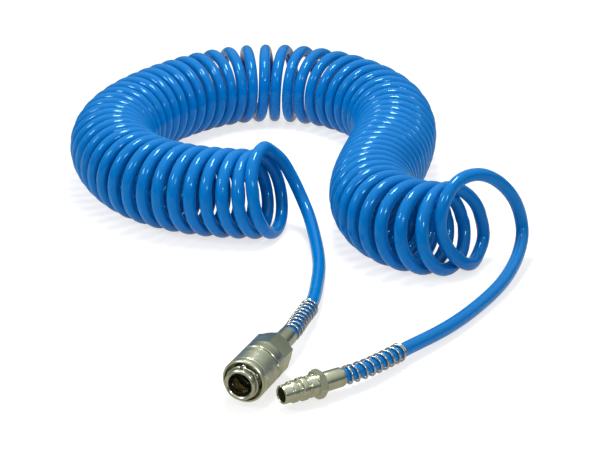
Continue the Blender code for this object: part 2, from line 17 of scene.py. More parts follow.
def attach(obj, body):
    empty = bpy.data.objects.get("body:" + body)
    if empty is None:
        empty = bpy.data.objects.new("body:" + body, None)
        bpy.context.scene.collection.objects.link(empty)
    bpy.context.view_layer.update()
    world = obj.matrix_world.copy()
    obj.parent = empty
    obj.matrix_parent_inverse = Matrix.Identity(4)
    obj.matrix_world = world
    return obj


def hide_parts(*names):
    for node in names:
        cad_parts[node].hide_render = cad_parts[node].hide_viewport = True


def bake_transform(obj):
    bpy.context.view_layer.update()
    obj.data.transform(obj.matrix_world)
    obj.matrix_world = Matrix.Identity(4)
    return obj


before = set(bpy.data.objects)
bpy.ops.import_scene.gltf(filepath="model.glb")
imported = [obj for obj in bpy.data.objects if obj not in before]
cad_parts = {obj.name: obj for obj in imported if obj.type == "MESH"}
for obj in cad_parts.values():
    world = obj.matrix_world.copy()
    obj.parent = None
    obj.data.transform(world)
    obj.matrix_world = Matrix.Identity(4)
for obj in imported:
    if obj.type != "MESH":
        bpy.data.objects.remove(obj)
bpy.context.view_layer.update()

MM = 0.001
TAU = 2 * math.pi
ORIGIN = (-7.6, 1104.7)  # the frame's origin, from the point below the camera

# ------------------------------------------------------------------ hose sizes
TUBE_OD = 8.0
TUBE_SIDES = 20
WIND_RADIUS = 24.8  # from the coil's axis to the tube's centre
COIL_TURNS = 62.25
TOUCHING_PITCH = 8.05
STEPS_PER_TURN = 48
COIL_START = (-16.8, 1098.0)
COIL_HEADING = -95.5
COIL_LENGTH = 715.5
BEND_STEP = 50.0
# degrees that the coil's axis turns in each BEND_STEP
BENDS = (22, 39.5, 22, 29, 18, 13, 42, 38, 27, 26, 12, 0, -20, -64, -140)
# pitch of the turns at every BEND_STEP
PITCHES = (
    9.6, 10.7, 11.0, 11.4, 13.4, 12.2, 13.1, 14.0,
    14.2, 15.4, 14.6, 11.0, 10.6, 10.4, 11.9, 13.8,
)
# the end rings stand skew to the axis: their headings, and where the skew stops and starts
RING_HEADING_START, SKEW_START = -69.0, 75.0
RING_HEADING_END, SKEW_END = 127.0, 560.0
# the end rings lean: degrees, and the length over which the lean fades
LEAN_START, LEAN_START_LENGTH = 16.0, 100.0
LEAN_END, LEAN_END_LENGTH = -18.0, 120.0
END_LIFT = 6.4  # extra reach of the tube where the coupler's lead leaves
FIRST_SEAM, LAST_SEAM = 7.0, 54.0  # turns between which the coil is one piece

# middle of the tube from coil to fitting: x, y from below the camera, and height
COUPLER_LEAD = (
    (-19.0, 1110.0, 53.0), (-13.0, 1112.4, 47.0), (-7.7, 1113.2, 38.5), (-4.2, 1112.0, 32.0),
    (0.6, 1108.0, 22.5), (4.8, 1099.3, 15.0), (7.9, 1084.5, 10.0), (10.4, 1061.0, 7.4),
    (11.5, 1030.5, 6.4), (10.1, 1005.7, 6.6), (5.4, 966.5, 8.8), (-0.6, 943.0, 10.9),
)
PLUG_LEAD = (
    (112.9, 1058.8, 13.0), (110.5, 1053.4, 7.8), (104.6, 1041.0, 4.3), (99.0, 1033.4, 8.0),
    (92.6, 1029.2, 14.6), (87.6, 1027.4, 22.0), (84.6, 1027.4, 29.6), (83.8, 1028.2, 37.4),
    (85.4, 1030.5, 46.0), (89.9, 1035.4, 54.4), (97.4, 1041.6, 59.4), (107.0, 1046.4, 60.2),
    (116.2, 1051.4, 56.0), (124.4, 1056.4, 48.4), (131.2, 1060.2, 38.6), (135.6, 1062.0, 27.2),
    (137.0, 1059.8, 18.0), (134.8, 1049.6, 11.2), (129.5, 1032.7, 7.6), (121.5, 1012.5, 5.8),
    (103.6, 979.0, 4.7), (79.4, 942.6, 5.4), (57.4, 916.4, 6.6),
)
FLEX_LENGTH = 55.0
GUARD_MEAN, GUARD_WIRE, GUARD_LENGTH, GUARD_COILS = 4.8, 1.2, 46.0, 9.5

# --------------------------------------------------------------- fitting sizes
COUPLER_NOSE, COUPLER_HEADING, COUPLER_LENGTH = (-31.6, 861.2, 12.2), 22.3, 46.0
COUPLER_FERRULE_END = 67.1
PLUG_TIP, PLUG_HEADING, PLUG_FERRULE_END = (-9.8, 858.3, 8.4), 56.1, 38.8
GRIP_RADIUS = 12.0  # of the sleeve and the rear body
HEX_FLAT = GRIP_RADIUS * math.cos(math.radians(30))  # its corners lie on the grip radius
HEX_START, HEX_TURN = 31.5, math.radians(15)
KNURL_TEETH, KNURL_DEPTH = 96, 0.12
KNURL_SLANT = 8 / 7  # teeth passed per mm along X
BALL_COUNT, BALL_POS, BALL_CIRCLE, BALL_D = 6, 7.0, 8.1, 3.2
BALL_HOLE_RADIUS = 1.8
PLUG_HEX_FLAT = 7.0


# ------------------------------------------------------------------- materials
class Nodes:
    """Adds and joins shader nodes. Values may be numbers or other nodes' outputs."""

    def __init__(self, block, shader="Principled BSDF"):
        block.use_nodes = True
        self.block = block
        self.tree = block.node_tree
        self.shader = self.tree.nodes[shader]

    def feed(self, into, value):
        if isinstance(value, bpy.types.NodeSocket):
            self.tree.links.new(value, into)
        elif value is not None:
            into.default_value = value

    def fill(self, node, **values):
        """Sets inputs, with _ for a space in their names, or else the node's own settings."""
        for key, value in values.items():
            socket = key.replace("_", " ")
            if socket in node.inputs.keys():
                self.feed(node.inputs[socket], value)
            else:
                setattr(node, key, value)
        return node

    def add(self, kind, **values):
        return self.fill(self.tree.nodes.new(kind), **values)

    def finish(self, **values):
        self.fill(self.shader, **values)
        return self.block

    def ramp(self, source, *stops):
        node = self.add("ShaderNodeValToRGB", Fac=source)
        elements = node.color_ramp.elements
        while len(elements) < len(stops):
            elements.new(0.5)
        for element, (at, colour) in zip(elements, stops):
            element.position = at
            element.color = (*colour, 1)
        return node.outputs["Color"]

    def range(self, source, low, high):
        """Spreads 0..1 over low..high."""
        node = self.add("ShaderNodeMapRange", Value=source, To_Min=low, To_Max=high)
        return node.outputs["Result"]

    def noise(self, scale, detail=3.0, stretch=(1, 1, 1)):
        where = self.add("ShaderNodeTexCoord").outputs["Object"]
        mapped = self.add("ShaderNodeMapping", Scale=stretch, Vector=where).outputs["Vector"]
        node = self.add("ShaderNodeTexNoise", Scale=scale, Detail=detail, Vector=mapped)
        return node.outputs["Fac"]

    def bump(self, height, distance, strength, after=None):
        node = self.add(
            "ShaderNodeBump", Strength=strength, Distance=distance, Height=height, Normal=after
        )
        return node.outputs["Normal"]

    def mix(self, factor, first, second, blend="MIX"):
        node = self.add("ShaderNodeMix", data_type="RGBA", blend_type=blend)
        for socket, value in ((0, factor), (6, first), (7, second)):
            self.feed(node.inputs[socket], value)
        return node.outputs[2]

    def math(self, operation, *values):
        node = self.add("ShaderNodeMath", operation=operation)
        for socket, value in zip(node.inputs, values):
            self.feed(socket, value)
        return node.outputs[0]


def hose_material():
    """Glossy tube, painted deep in its middle and lighter at its rims: a painted glow of the light
    that goes through them.
    """
    mat = Nodes(bpy.data.materials.new("hose_polyurethane"))
    facing = mat.add("ShaderNodeLayerWeight", Blend=0.42).outputs["Facing"]
    # painted rim glow: the colour turns lighter cyan where the tube is seen edge-on, standing in for
    # light through its thin rims
    blue_with_painted_rim_glow = mat.ramp(
        facing,
        (0.0, (0.0002, 0.168, 0.530)), (0.55, (0.0003, 0.195, 0.590)), (0.95, (0.001, 0.320, 0.740)),
    )
    cloud = mat.ramp(
        mat.noise(scale=70, detail=4), (0.3, (0.82, 0.86, 0.90)), (0.7, (1.0, 1.0, 1.0))
    )
    colour = mat.mix(0.25, blue_with_painted_rim_glow, cloud, blend="MULTIPLY")
    roughness = mat.range(mat.noise(scale=420), low=0.09, high=0.15)
    wide = mat.bump(mat.noise(scale=120, detail=2), distance=0.00002, strength=0.25)
    fine = mat.bump(
        mat.noise(scale=1500, detail=2), distance=0.0000015, strength=0.3, after=wide
    )
    return mat.finish(
        Base_Color=colour,
        Roughness=roughness,
        Specular_Tint=(0.16, 0.72, 1.0, 1),
        IOR=1.50,
        Subsurface_Weight=0.18,
        Subsurface_Radius=(0.15, 0.6, 1.0),
        Subsurface_Scale=0.003,
        Coat_Weight=0.30,
        Coat_Roughness=0.04,
        Normal=fine,
    )


def metal(name, dark, light, rough, marks=900.0, mark_depth=0.000008, grain=0.35):
    """Metal with lathe marks round its X axis, a cloudy surface and fine scratches."""
    mat = Nodes(bpy.data.materials.new(name))
    cloud = mat.noise(scale=130, detail=5)
    colour = mat.ramp(cloud, (0.32, dark), (0.68, light))
    scratches = mat.noise(scale=2600, stretch=(1, 0.3, 0.3))
    roughness = mat.math("ADD", mat.range(cloud, 0, 0.10), mat.range(scratches, *rough))
    lathe = mat.noise(scale=marks, detail=2, stretch=(1, 0.03, 0.03))
    turned = mat.bump(lathe, distance=mark_depth, strength=0.6)
    grained = mat.bump(mat.noise(scale=3800), distance=0.000006, strength=grain, after=turned)
    return mat.finish(Base_Color=colour, Metallic=1.0, Roughness=roughness, Normal=grained)


def rubber_material():
    mat = Nodes(bpy.data.materials.new("seal_rubber"))
    return mat.finish(
        Base_Color=mat.ramp(
            mat.noise(scale=900), (0.3, (0.010, 0.010, 0.010)), (0.7, (0.026, 0.026, 0.025))
        ),
        Roughness=mat.range(mat.noise(scale=500, detail=2), low=0.42, high=0.68),
        Normal=mat.bump(mat.noise(scale=2400), distance=0.00001, strength=0.5),
    )


HOSE = hose_material()
NICKEL = metal(
    "nickel_plate", dark=(0.58, 0.61, 0.47), light=(0.69, 0.72, 0.57), rough=(0.14, 0.22),
    marks=700, mark_depth=0.000004, grain=0.12,
)
SLEEVE = metal(
    "sleeve_plate", dark=(0.62, 0.65, 0.50), light=(0.76, 0.78, 0.63), rough=(0.22, 0.30),
    marks=700, mark_depth=0.000004, grain=0.12,
)
WIRE = metal(
    "spring_wire", dark=(0.60, 0.60, 0.56), light=(0.76, 0.76, 0.72), rough=(0.12, 0.20),
    marks=1400, mark_depth=0.000002, grain=0.1,
)
BRASS = metal(
    "valve_brass", dark=(0.50, 0.35, 0.12), light=(0.68, 0.50, 0.20), rough=(0.15, 0.32)
)
BALL = metal(
    "ball_steel", dark=(0.58, 0.58, 0.57), light=(0.70, 0.70, 0.69), rough=(0.05, 0.12),
    marks=1500, mark_depth=0.000002, grain=0.1,
)
RUBBER = rubber_material()


# -------------------------------------------------------------------- geometry
def in_frame(places):
    return np.asarray(places, float) - (*ORIGIN, 0)


def unit(vectors):
    return vectors / np.linalg.norm(vectors, axis=-1, keepdims=True)


def squared(ups, ways):
    """Unit vectors made from ups, square to the unit vectors ways."""
    return unit(ups - (ups * ways).sum(-1, keepdims=True) * ways)


def interp_rows(at, stations, rows):
    return np.stack([np.interp(at, stations, rows[:, k]) for k in range(3)], -1)


def around_x(x, reach, angle):
    """Points round the X axis, by their angle from +Z towards +Y."""
    return np.stack(np.broadcast_arrays(x, reach * np.sin(angle), reach * np.cos(angle)), -1)


def add_object(name, data):
    made = bpy.data.objects.new(name, data)
    bpy.context.scene.collection.objects.link(made)
    return made


def shade(mesh):
    """Smooth shading with hard edges where a turned piece has corners."""
    mesh.shade_smooth()
    mesh.set_sharp_from_angle(angle=math.radians(38))


def mesh_object(name, verts, faces, material):
    mesh = bpy.data.meshes.new(name)
    mesh.from_pydata([tuple(v) for v in np.asarray(verts) * MM], [], faces)
    mesh.update()
    mesh.shade_smooth()
    mesh.materials.append(material)
    return add_object(name, mesh)


def from_bmesh(name, bm):
    mesh = bpy.data.meshes.new(name)
    bm.to_mesh(mesh)
    bm.free()
    return mesh


def quads(bands, rings, sides):
    """Faces of bands between rings of points, the last ring joining the first."""
    faces = []
    for i in range(bands):
        here, after = i * sides, (i + 1) % rings * sides
        for k in range(sides):
            m = (k + 1) % sides
            faces.append((here + k, here + m, after + m, after + k))
    return faces


def tube_mesh(name, points, ups, radius, sides, material, ways=None):
    """A round closed tube, shaded by its true normals so that lengths of hose meet unseen."""
    points = np.asarray(points, float)
    ways = unit(np.gradient(points, axis=0) if ways is None else ways)
    ups = squared(np.asarray(ups, float), ways)
    across = np.cross(ways, ups)
    angles = TAU * np.arange(sides) / sides
    out = np.cos(angles)[None, :, None] * ups[:, None]
    out = out + np.sin(angles)[None, :, None] * across[:, None]
    count = len(points)
    faces = quads(count - 1, count, sides)
    skin = len(faces)
    faces.append(tuple(range(sides - 1, -1, -1)))
    faces.append(tuple((count - 1) * sides + k for k in range(sides)))
    verts = (points[:, None] + radius * out).reshape(-1, 3)
    made = mesh_object(name, verts, faces, material)
    mesh = made.data
    loops = np.zeros(len(mesh.loops), np.int32)
    mesh.loops.foreach_get("vertex_index", loops)
    normals = out.reshape(-1, 3)[loops]
    for cap, normal in ((skin, -ways[0]), (skin + 1, ways[-1])):
        face = mesh.polygons[cap]
        face.use_smooth = False
        normals[face.loop_start : face.loop_start + face.loop_total] = normal
    mesh.normals_split_custom_set([tuple(v) for v in normals])
    return made


def rounded(outline, radius, steps=3):
    """A closed section with small fillets in place of its corners."""
    out = []
    for i in range(len(outline)):
        corner = np.array(outline[i], float)
        back = np.array(outline[i - 1], float) - corner
        ahead = np.array(outline[(i + 1) % len(outline)], float) - corner
        back_length, ahead_length = np.linalg.norm(back), np.linalg.norm(ahead)
        cosine = float(back @ ahead) / (back_length * ahead_length)
        if math.acos(max(-1.0, min(1.0, cosine))) > math.radians(172):  # almost straight
            out.append(tuple(corner))
            continue
        cut = min(radius, 0.32 * back_length, 0.32 * ahead_length)
        first = corner + back / back_length * cut
        last = corner + ahead / ahead_length * cut
        for k in range(steps + 1):
            t = k / steps
            out.append(tuple((1 - t) ** 2 * first + 2 * t * (1 - t) * corner + t * t * last))
    return out


def subdivided(section, first, last, step):
    """A section with more points on its widest straight parts between two stations."""
    widest = max(r for _, r in section)
    fine = []
    for i, here in enumerate(section):
        after = section[(i + 1) % len(section)]
        fine.append(here)
        low = max(min(here[0], after[0]), first)
        high = min(max(here[0], after[0]), last)
        outer = here[1] == widest and abs(after[1] - here[1]) < 0.01
        if outer and high - low > 2 * step:
            xs = np.arange(low + step, high - step / 2, step)
            xs = xs if after[0] > here[0] else xs[::-1]
            fine += [(float(x), here[1]) for x in xs]
    return fine


def revolve(name, section, sides, material, shape=None):
    """A closed section (x, r) spun round X. shape(x, r, angle) may move a point in or out."""
    xs, rs = np.array(section, float).T
    angles = TAU * np.arange(sides) / sides
    x, r = xs[:, None], rs[:, None]
    if shape:
        r = shape(x, r, angles)
    faces = quads(len(xs), len(xs), sides)
    if float((xs * np.roll(rs, -1) - np.roll(xs, -1) * rs).sum()) >= 0:
        faces = [face[::-1] for face in faces]
    made = mesh_object(name, around_x(x, r, angles).reshape(-1, 3), faces, material)
    shade(made.data)
    return made


def spring_line(first, length, coils, steps, wire, start_closed, closed_pitch):
    """Turns, stations and shares of the open length for a spring with closed end coils.

    Its two ends hold two closed coils between them. closed_pitch is in wire diameters.
    """
    closed = 2.0
    turns = np.arange(int(coils * steps) + 1) / steps
    pitch = wire * closed_pitch
    end_from = coils - (closed - start_closed)
    ends = np.minimum(turns, start_closed) + np.maximum(0, turns - end_from)
    share = np.clip((turns - start_closed) / (coils - closed), 0, 1)
    stations = first + wire / 2 + ends * pitch + share * (length - wire - closed * pitch)
    return turns, stations, share


def ride(piece, body, node):
    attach(piece, body)
    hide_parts(node)


def blend(piece, bodies, slot, node, start, end):
    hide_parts(node)
    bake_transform(piece)


class Fitting:
    """A fitting's frame, +X running from its front face towards the hose."""

    def __init__(self, body, front, heading):
        self.body, self.front, self.heading = body, in_frame(front), heading
        angle = math.radians(heading)
        self.way = np.array([math.sin(angle), math.cos(angle), 0])

    def on_axis(self, x):
        return self.front + self.way * x

    def place(self, piece):
        turn = Matrix.Rotation(math.radians(90 - self.heading), 4, "Z")
        piece.matrix_world = Matrix.Translation(Vector(self.front) * MM) @ turn

    def add(self, piece, slot, node, body=None):
        self.place(piece)
        ride(piece, body or self.body, node)


COUPLER = Fitting("coupler", COUPLER_NOSE, COUPLER_HEADING)
PLUG = Fitting("plug", PLUG_TIP, PLUG_HEADING)


# -------------------------------------------------------------------- the coil
def coil_line():
    """The coil's axis: distances, x, y, ring headings and leans in radians, and turns."""
    far = np.linspace(0, COIL_LENGTH, int(COIL_LENGTH) + 1)
    step = far[1]
    mids = (np.arange(len(BENDS)) + 0.5) * BEND_STEP
    curl = np.interp(far, mids, np.radians(BENDS) / BEND_STEP)
    turned = np.concatenate([[0], np.cumsum((curl[1:] + curl[:-1]) / 2 * step)])
    heading = math.radians(COIL_HEADING) + turned
    middle = (heading[1:] + heading[:-1]) / 2
    x = COIL_START[0] + np.concatenate([[0], np.cumsum(np.sin(middle) * step)])
    y = COIL_START[1] + np.concatenate([[0], np.cumsum(np.cos(middle) * step)])

    ring = np.degrees(heading)
    first, last = far <= SKEW_START, far >= SKEW_END
    at_first, at_last = np.interp(SKEW_START, far, ring), np.interp(SKEW_END, far, ring)
    ring[first] = RING_HEADING_START + (at_first - RING_HEADING_START) * far[first] / SKEW_START
    past = far[last] - SKEW_END
    ring[last] = at_last + (RING_HEADING_END - at_last) * past / (COIL_LENGTH - SKEW_END)
    padded = np.pad(ring, 12, mode="reflect", reflect_type="odd")
    ring = np.radians(np.convolve(padded, np.ones(25) / 25, "valid"))  # a running mean

    lean = math.radians(LEAN_START) * np.clip(1 - far / LEAN_START_LENGTH, 0, 1)
    lean += math.radians(LEAN_END) * np.clip(1 - (COIL_LENGTH - far) / LEAN_END_LENGTH, 0, 1)
    pitch = np.interp(far, np.arange(len(PITCHES)) * BEND_STEP, PITCHES)
    turns = np.concatenate([[0], np.cumsum(2 / (pitch[1:] + pitch[:-1]))])
    return far, x, y, ring, lean, turns * COIL_TURNS / turns[-1]


def coil_points():
    """Turns so far, the tube's centre, its way, its spoke and the middle of its ring."""
    far, x, y, ring, lean, turns = coil_line()
    steps = STEPS_PER_TURN
    turn = np.arange(0, int(round(COIL_TURNS * steps)) + 1) / steps
    at = np.interp(turn, turns, far)
    x, y, ring, lean = (np.interp(at, far, v) for v in (x, y, ring, lean))
    none = np.zeros(len(at))
    centre = in_frame(np.stack([x, y, WIND_RADIUS * np.cos(lean) + TUBE_OD / 2], 1))
    normal = np.stack([np.sin(ring), np.cos(ring), none], 1)
    side = np.stack([-np.cos(ring), np.sin(ring), none], 1)
    up = np.stack([none, none, np.cos(lean)], 1) + normal * np.sin(lean)[:, None]
    angle = TAU * turn
    wide = WIND_RADIUS + END_LIFT * np.where(turn < 0.25, np.cos(angle) ** 2, 0)
    spoke = np.cos(angle)[:, None] * up + np.sin(angle)[:, None] * side
    tube = centre + wide[:, None] * spoke
    for _ in range(60):  # push apart neighbouring turns that overlap
        gap = ((tube[steps:] - tube[:-steps]) * normal[steps:]).sum(1)
        push = (np.maximum(TOUCHING_PITCH - gap, 0) / 2 * 0.9)[:, None] * normal[steps:]
        tube[steps:] += push
        tube[:-steps] -= push
    return turn, tube, np.gradient(tube, axis=0), spoke, centre


turn, coil, coil_way, spoke, centre = coil_points()


def hose_tube(name, points, ups, ways):
    return tube_mesh(name, points, ups, TUBE_OD / 2, TUBE_SIDES, HOSE, ways)


def coil_piece(name, first, last):
    pick = (turn >= first - 1e-6) & (turn <= last + 1e-6)
    return hose_tube(name, coil[pick], spoke[pick], coil_way[pick])


def stretch_piece(end, span, start_turn, end_turn):
    """Turns at one end of the coil, made as a piece of their own."""
    piece = coil_piece(f"tube_stretch_{end}_end", *span)
    blend(
        piece, ("coil", end + "_lead"), "hose_tube", f"hose_stretch_{end}_end",
        interp_rows(start_turn, turn, centre), interp_rows(end_turn, turn, centre),
    )
    along = np.linspace(0, 1, len(piece.data.vertices) // TUBE_SIDES)
    if start_turn > end_turn:  # the piece's points begin at the lead
        along = 1 - along


ride(coil_piece("tube_coil", FIRST_SEAM, LAST_SEAM), "coil", "hose_coil")
stretch_piece("coupler", (0.0, FIRST_SEAM), start_turn=6.6, end_turn=0.5)
stretch_piece("plug", (LAST_SEAM, COIL_TURNS), start_turn=54.4, end_turn=61.6)


# ------------------------------------------------------- leads and their guards
def smooth_line(knots, joint, spacing):
    """A natural cubic spline through knots: distances, points, ways, and how far along one
    of the knots is."""
    chords = np.linalg.norm(np.diff(knots, axis=0), axis=1)
    at_knot = np.concatenate([[0], np.cumsum(chords)])
    h = np.diff(at_knot)
    count = len(knots)
    system, right = np.zeros((count, count)), np.zeros((count, 3))
    system[0, 0] = system[-1, -1] = 1
    for i in range(1, count - 1):
        system[i, i - 1 : i + 2] = h[i - 1], 2 * (h[i - 1] + h[i]), h[i]
        slope_before = (knots[i] - knots[i - 1]) / h[i - 1]
        right[i] = 6 * ((knots[i + 1] - knots[i]) / h[i] - slope_before)
    bend = np.linalg.solve(system, right)

    fine = np.arange(0, at_knot[-1], 0.25)
    i = np.clip(np.searchsorted(at_knot, fine, side="right") - 1, 0, count - 2)
    done, span = (fine - at_knot[i])[:, None], h[i][:, None]
    left = span - done
    line = (
        bend[i] * left**3 / (6 * span) + bend[i + 1] * done**3 / (6 * span)
        + (knots[i] / span - bend[i] * span / 6) * left
        + (knots[i + 1] / span - bend[i + 1] * span / 6) * done
    )
    steps = np.linalg.norm(np.diff(line, axis=0), axis=1)
    far = np.concatenate([[0], np.cumsum(steps)])
    way = np.gradient(line, axis=0)
    even = np.linspace(0, far[-1], int(round(far[-1] / spacing)) + 1)
    joint_at = float(np.interp(at_knot[joint], fine, far))
    return even, interp_rows(even, far, line), interp_rows(even, far, way), joint_at


def carried_up(ways):
    """Up vectors carried along a line without twist, from +Z."""
    ups, up = [], np.array([0.0, 0.0, 1.0])
    for way in unit(ways):
        up = squared(up, way)
        ups.append(up)
    return np.array(ups)


def lead(fitting, coil_end, coil_end_way, places, tail_from, tail_to):
    """The tube from coil to fitting: a stiff lead, a length that runs up to the guard, and the tail,
    which runs under the guard and into the fitting between two stations on its axis."""
    stations = (tail_from + 6, (tail_from + tail_to) / 2, tail_to)
    knots = np.vstack([coil_end, in_frame(places), [fitting.on_axis(x) for x in stations]])
    distance, points, ways, begin = smooth_line(knots, len(coil_end) - 1, 1.5)
    ups = carried_up(ways)
    end = distance[-1]
    guard = end - (tail_from - tail_to) - GUARD_LENGTH
    flex = guard - FLEX_LENGTH
    body, made = fitting.body, {}
    for part, first, last in (("lead", begin, flex), ("flex", flex, guard), ("tail", guard, end)):
        inside = (distance > first + 0.4) & (distance < last - 0.4)
        at = np.concatenate([[first], distance[inside], [last]])
        line, up, way = (interp_rows(at, distance, v) for v in (points, ups, ways))
        if part == "lead":
            way[0] = coil_end_way
        made[part] = hose_tube(f"tube_{part}_{body}", line, up, way)
    base = body + "_lead"
    ride(made["lead"], base, "hose_lead_" + body)
    ride(made["tail"], body, "hose_tail_" + body)
    flex_start, flex_end = interp_rows(np.array([flex, guard]), distance, points)
    blend(made["flex"], (base, body), "hose_tube", "hose_flex_" + body, flex_start, flex_end)
    return distance, points, ups, guard


def spring_guard(fitting, distance, points, ups, guard):
    """Wire wound round the tube, its end coils closed."""
    turns, at, _ = spring_line(
        guard + 0.6, GUARD_LENGTH - 1.8, GUARD_COILS,
        steps=30, wire=GUARD_WIRE, start_closed=1.2, closed_pitch=1.15,
    )
    here = interp_rows(at, distance, points)
    ahead = unit(interp_rows(at + 1, distance, points) - here)
    up = squared(interp_rows(at, distance, ups), ahead)
    angle = (TAU * turns)[:, None]
    radial = np.cos(angle) * up + np.sin(angle) * np.cross(ahead, up)
    body = fitting.body
    wound = here + GUARD_MEAN * radial
    piece = tube_mesh("guard_" + body, wound, radial, GUARD_WIRE / 2, 12, WIRE)
    ride(piece, body, body + "_spring_guard")


coupler_path = lead(
    COUPLER, coil[[14, 10, 6, 3, 0]], -coil_way[0], COUPLER_LEAD,
    tail_from=COUPLER_FERRULE_END + 0.1, tail_to=COUPLER_LENGTH + 0.2,
)
plug_path = lead(
    PLUG, coil[[-15, -11, -7, -4, -1]], coil_way[-1], PLUG_LEAD,
    tail_from=PLUG_FERRULE_END + 0.6, tail_to=25.6,
)
spring_guard(COUPLER, *coupler_path)
spring_guard(PLUG, *plug_path)


# ----------------------------------------------------------------- the coupler
def knurled(x, r, angle, first, last):
    """Cuts crossed fine teeth between two stations of the grip surface."""
    tooth_at = angle * KNURL_TEETH / TAU
    u = (tooth_at + x * KNURL_SLANT) % 1.0
    v = (tooth_at - x * KNURL_SLANT) % 1.0
    tooth = np.minimum(1, 2.6 * np.minimum(np.abs(u - 0.5), np.abs(v - 0.5)))
    fade = np.clip(np.minimum(x - first, last - x) / 0.35, 0, 1)
    on_skin = (r > GRIP_RADIUS - 0.1) & (x > first) & (x < last)
    return np.where(on_skin, r - KNURL_DEPTH * (1 - tooth) * fade, r)


def hexagon(angle, flat, turn=0.0):
    """Reach of a hexagon whose flats lie at the distance flat."""
    off = (angle - turn + math.pi / 6) % (math.pi / 3) - math.pi / 6
    return flat / np.cos(off)


def drill_ball_holes(piece):
    """Radial holes through a turned piece, cut before it is put in its place."""
    drills = []
    for i in range(BALL_COUNT // 2):  # each drill cuts two opposite holes
        bm = bmesh.new()
        radius = BALL_HOLE_RADIUS * MM
        bmesh.ops.create_cone(
            bm, cap_ends=True, segments=40, radius1=radius, radius2=radius, depth=0.024
        )
        drill = add_object("drill", from_bmesh("drill", bm))
        drill.location = (BALL_POS * MM, 0, 0)
        drill.rotation_euler = (TAU / BALL_COUNT * i, 0, 0)
        cut = piece.modifiers.new("drill", "BOOLEAN")
        cut.operation, cut.solver, cut.object = "DIFFERENCE", "EXACT", drill
        drills.append(drill)
    bpy.context.view_layer.update()
    evaluated = piece.evaluated_get(bpy.context.evaluated_depsgraph_get())
    mesh = bpy.data.meshes.new_from_object(evaluated)
    piece.modifiers.clear()
    piece.data = mesh
    shade(mesh)
    for drill in drills:
        bpy.data.objects.remove(drill, do_unlink=True)


def nose_barrel():
    wide = 8.6
    outline = [
        (0.0, wide - 0.7), (0.6, wide), (3.3, wide), (3.3, wide - 0.9), (4.7, wide - 0.9),
        (4.7, wide), (21.0, wide), (21.0, 8.0), (33.0, 8.0), (33.0, 6.9), (23.0, 6.9),
        (21.4, 4.9), (19.6, 4.9), (19.6, 5.7), (15.2, 5.7), (15.2, 7.2), (12.6, 7.2),
        (12.6, 6.5), (0.8, 6.5), (0.0, 7.3),
    ]
    piece = revolve("nose_barrel", rounded(outline, 0.22), 96, NICKEL)
    drill_ball_holes(piece)
    COUPLER.add(piece, "nickel_parts", "coupler_barrel")


def rear_body():
    """A hexagon whose flats run out in arcs, behind a band of fine knurling."""
    wide, length = GRIP_RADIUS, COUPLER_LENGTH
    outline = [
        (21.6, 8.3), (21.6, 10.7), (24.6, 10.7), (24.6, 11.6), (25.1, wide), (25.4, wide),
        (31.0, wide), (45.2, wide), (length, 10.4), (length, 5.9), (38.6, 5.9), (38.6, 4.2),
        (37.3, 4.2), (37.3, 6.9), (34.2, 6.9), (34.2, 8.3),
    ]

    def shape(x, r, angle):
        flat = hexagon(angle, HEX_FLAT, HEX_TURN) + np.maximum(0, HEX_START + 1.3 - x) * 1.3
        r = np.where((x > HEX_START - 0.3) & (r > 8.4), np.minimum(r, flat), r)
        return knurled(x, r, angle, 25.6, 30.4)

    section = subdivided(rounded(outline, 0.18), 25.4, 45.2, 0.2)
    COUPLER.add(revolve("rear_body", section, 384, NICKEL, shape), "nickel_parts", "coupler_body")


def grip_sleeve():
    wide = GRIP_RADIUS
    outline = [
        (5.2, 10.8), (5.2, 11.4), (5.9, wide), (9.2, wide), (9.7, 11.7), (10.2, wide),
        (23.4, wide), (24.0, 11.5), (24.0, 11.05), (13.0, 11.05), (13.0, 8.95), (10.4, 8.95),
        (8.9, 10.8),
    ]

    def shape(x, r, angle):
        return knurled(x, r, angle, 10.6, 22.6)

    section = subdivided(rounded(outline, 0.16), 10.4, 23.4, 0.18)
    piece = revolve("grip_sleeve", section, 480, SLEEVE, shape)
    COUPLER.add(piece, "sleeve", "locking_sleeve", body="sleeve")


def stop_wire():
    """An open ring of wire in the barrel's groove, kinked outwards at one angle."""
    count, gap, kink = 120, 0.22, 5.5
    angles = gap / 2 + (TAU - gap) * np.arange(count) / (count - 1)
    away = np.abs((angles - kink + math.pi) % TAU - math.pi)
    reach = 8.72 + 0.75 * np.clip(1 - away / 0.32, 0, 1)
    piece = tube_mesh("stop_wire", around_x(4.0, reach, angles), (1, 0, 0), 0.6, 12, WIRE)
    COUPLER.add(piece, "spring_wire", "sleeve_circlip")


def seal_ring(name, x, major, minor, node, body):
    angles = TAU * np.arange(14) / 14
    section = np.stack([x + minor * np.cos(angles), major + minor * np.sin(angles)], 1)
    COUPLER.add(revolve(name, section, 96, RUBBER), "seals", node, body)


def poppet():
    outline = [
        (16.0, 4.5), (24.0, 4.5), (24.0, 6.3), (26.4, 6.3), (26.4, 4.4), (30.0, 4.4),
        (30.0, 3.4), (25.8, 3.4), (25.8, 1.2), (24.6, 1.2), (24.6, 3.4), (16.0, 3.4),
    ]
    piece = revolve("poppet", rounded(outline, 0.15), 72, BRASS)
    COUPLER.add(piece, "brass_parts", "valve_poppet", body="valve")


def locking_ball(i):
    name = f"ball_round_{i + 1}"
    bm = bmesh.new()
    bmesh.ops.create_icosphere(bm, subdivisions=4, radius=BALL_D / 2 * MM)
    mesh = from_bmesh(name, bm)
    mesh.shade_smooth()
    mesh.materials.append(BALL)
    middle = around_x(BALL_POS, BALL_CIRCLE, TAU / BALL_COUNT * i)
    mesh.transform(Matrix.Translation(Vector(middle) * MM))
    COUPLER.add(add_object(name, mesh), "balls", f"locking_ball_{i + 1}", body=f"ball_{i + 1}")


